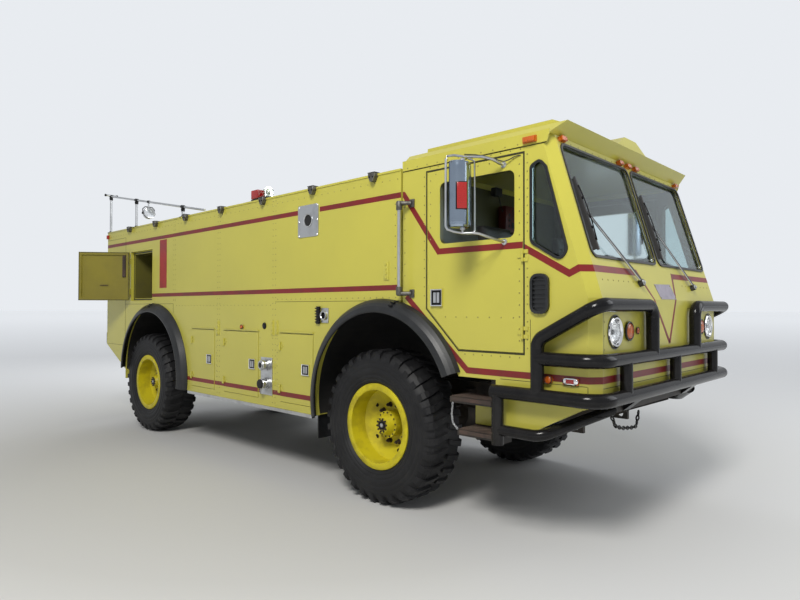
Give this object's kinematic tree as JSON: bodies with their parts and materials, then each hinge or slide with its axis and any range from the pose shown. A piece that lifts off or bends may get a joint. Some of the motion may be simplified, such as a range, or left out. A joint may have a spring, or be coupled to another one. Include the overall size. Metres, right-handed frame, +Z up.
{
  "type": "airport fire truck",
  "caption": "Two-axle airport fire truck with forward cab, tubular bumper guard, side lockers, open high locker door and large off-road tyres.",
  "frame": {"origin": "on the ground, on the centre plane, midway between the two axles", "axes": "+X forward, +Y to the truck's left, +Z up"},
  "size_m": [8.1525, 3.4387, 3.4763],
  "materials": {
    "lime_paint": "sun-bleached lime yellow gloss paint on riveted sheet",
    "wheel_paint": "lime yellow paint on cast and pressed steel",
    "guard_black": "satin black paint on bent tube",
    "chassis_black": "dusty black chassis paint",
    "machinery_grey": "oily grey castings",
    "trim_rubber": "matt black moulded rubber",
    "tyre_rubber": "dusty black tyre rubber",
    "bright_metal": "bare bright metal",
    "window_glass": "grey tinted safety glass",
    "cab_black": "black moulded plastic",
    "seat_vinyl": "black grained vinyl",
    "lamp_chrome": "chromed bezel and clear lens",
    "lamp_amber": "moulded amber lens",
    "lamp_red": "moulded red lens"
  },
  "bodies": {
    "root": {"chassis_frame": "chassis_black", "driveline": "machinery_grey", "engine_block": "machinery_grey", "front_axle": "chassis_black", "rear_axle": "chassis_black", "leaf_springs": "chassis_black", "rear_body": "lime_paint", "body_trim": "bright_metal", "fender_flares": "trim_rubber", "coupling_panel": "bright_metal", "handrails": "bright_metal", "roof_beacon": "lamp_red", "cab_shell": "lime_paint", "cab_floor": "cab_black", "cab_roof": "lime_paint", "cab_glass": "window_glass", "window_seals": "trim_rubber", "dashboard": "cab_black", "seats": "seat_vinyl", "bumper_guard": "guard_black", "cab_steps": "chassis_black", "headlamps": "lamp_chrome", "marker_lamps": "lamp_amber", "wipers": "cab_black"},
    "knuckle_right": {"knuckle_right": "chassis_black"},
    "knuckle_left": {"knuckle_left": "chassis_black"},
    "road_wheel_front_right": {"tyre_front_right": "tyre_rubber", "wheel_front_right": "wheel_paint"},
    "road_wheel_front_left": {"tyre_front_left": "tyre_rubber", "wheel_front_left": "wheel_paint"},
    "road_wheel_rear_right": {"tyre_rear_right": "tyre_rubber", "wheel_rear_right": "wheel_paint"},
    "road_wheel_rear_left": {"tyre_rear_left": "tyre_rubber", "wheel_rear_left": "wheel_paint"},
    "cab_door_right": {"cab_door_right": "lime_paint", "mirrors_right": "lamp_chrome"},
    "locker_door_right_1": {"locker_door_right_1": "lime_paint"},
    "locker_door_right_2": {"locker_door_right_2": "lime_paint"},
    "locker_door_right_3": {"locker_door_right_3": "lime_paint"},
    "high_door_right": {"high_door_right": "lime_paint"},
    "cab_door_left": {"cab_door_left": "lime_paint", "mirrors_left": "lamp_chrome"},
    "locker_door_left_1": {"locker_door_left_1": "lime_paint"},
    "locker_door_left_2": {"locker_door_left_2": "lime_paint"},
    "locker_door_left_3": {"locker_door_left_3": "lime_paint"},
    "high_door_left": {"high_door_left": "lime_paint"},
    "engine_door": {"engine_door": "lime_paint"}
  },
  "joints": [
    {"name": "steer_right", "type": "hinge", "parent": "root", "child": "knuckle_right", "pos_m": [2.284, -0.8, 0.674], "axis": [0, 0, 1], "range_deg": [-28, 28]},
    {"name": "steer_left", "type": "hinge", "parent": "root", "child": "knuckle_left", "pos_m": [2.284, 0.8, 0.674], "axis": [0, 0, 1], "range_deg": [-28, 28]},
    {"name": "roll_front_right", "type": "hinge", "parent": "knuckle_right", "child": "road_wheel_front_right", "pos_m": [2.284, -1.03, 0.674], "axis": [0, 1, 0], "continuous": true},
    {"name": "roll_front_left", "type": "hinge", "parent": "knuckle_left", "child": "road_wheel_front_left", "pos_m": [2.284, 1.03, 0.674], "axis": [0, 1, 0], "continuous": true},
    {"name": "roll_rear_right", "type": "hinge", "parent": "root", "child": "road_wheel_rear_right", "pos_m": [-2.284, -1.03, 0.674], "axis": [0, 1, 0], "continuous": true},
    {"name": "roll_rear_left", "type": "hinge", "parent": "root", "child": "road_wheel_rear_left", "pos_m": [-2.284, 1.03, 0.674], "axis": [0, 1, 0], "continuous": true},
    {"name": "cab_door_swing_right", "type": "hinge", "parent": "root", "child": "cab_door_right", "pos_m": [3.79, -1.264, 2.1], "axis": [0, 0, 1], "range_deg": [0, 75]},
    {"name": "locker_swing_right_1", "type": "hinge", "parent": "root", "child": "locker_door_right_1", "pos_m": [-0.959, -1.264, 1.1], "axis": [0, 0, -1], "range_deg": [0, 100]},
    {"name": "locker_swing_right_2", "type": "hinge", "parent": "root", "child": "locker_door_right_2", "pos_m": [-0.199, -1.264, 1.1], "axis": [0, 0, -1], "range_deg": [0, 100]},
    {"name": "locker_swing_right_3", "type": "hinge", "parent": "root", "child": "locker_door_right_3", "pos_m": [0.906, -1.264, 1.1], "axis": [0, 0, -1], "range_deg": [0, 100]},
    {"name": "high_door_swing_right", "type": "hinge", "parent": "root", "child": "high_door_right", "pos_m": [-2.811, -1.264, 2.17], "axis": [0, 0, 1], "range_deg": [0, 130]},
    {"name": "cab_door_swing_left", "type": "hinge", "parent": "root", "child": "cab_door_left", "pos_m": [3.79, 1.264, 2.1], "axis": [0, 0, -1], "range_deg": [0, 75]},
    {"name": "locker_swing_left_1", "type": "hinge", "parent": "root", "child": "locker_door_left_1", "pos_m": [-0.959, 1.264, 1.1], "axis": [0, 0, 1], "range_deg": [0, 100]},
    {"name": "locker_swing_left_2", "type": "hinge", "parent": "root", "child": "locker_door_left_2", "pos_m": [-0.199, 1.264, 1.1], "axis": [0, 0, 1], "range_deg": [0, 100]},
    {"name": "locker_swing_left_3", "type": "hinge", "parent": "root", "child": "locker_door_left_3", "pos_m": [0.906, 1.264, 1.1], "axis": [0, 0, 1], "range_deg": [0, 100]},
    {"name": "high_door_swing_left", "type": "hinge", "parent": "root", "child": "high_door_left", "pos_m": [-2.811, 1.264, 2.17], "axis": [0, 0, 1], "range_deg": [0, 130]},
    {"name": "engine_door_lift", "type": "hinge", "parent": "root", "child": "engine_door", "pos_m": [-3.698, 0, 2.05], "axis": [0, 1, 0], "range_deg": [0, 80]}
  ],
  "couplings": [
    {"joint": "steer_left", "follows": "steer_right", "ratio": 1}
  ]
}
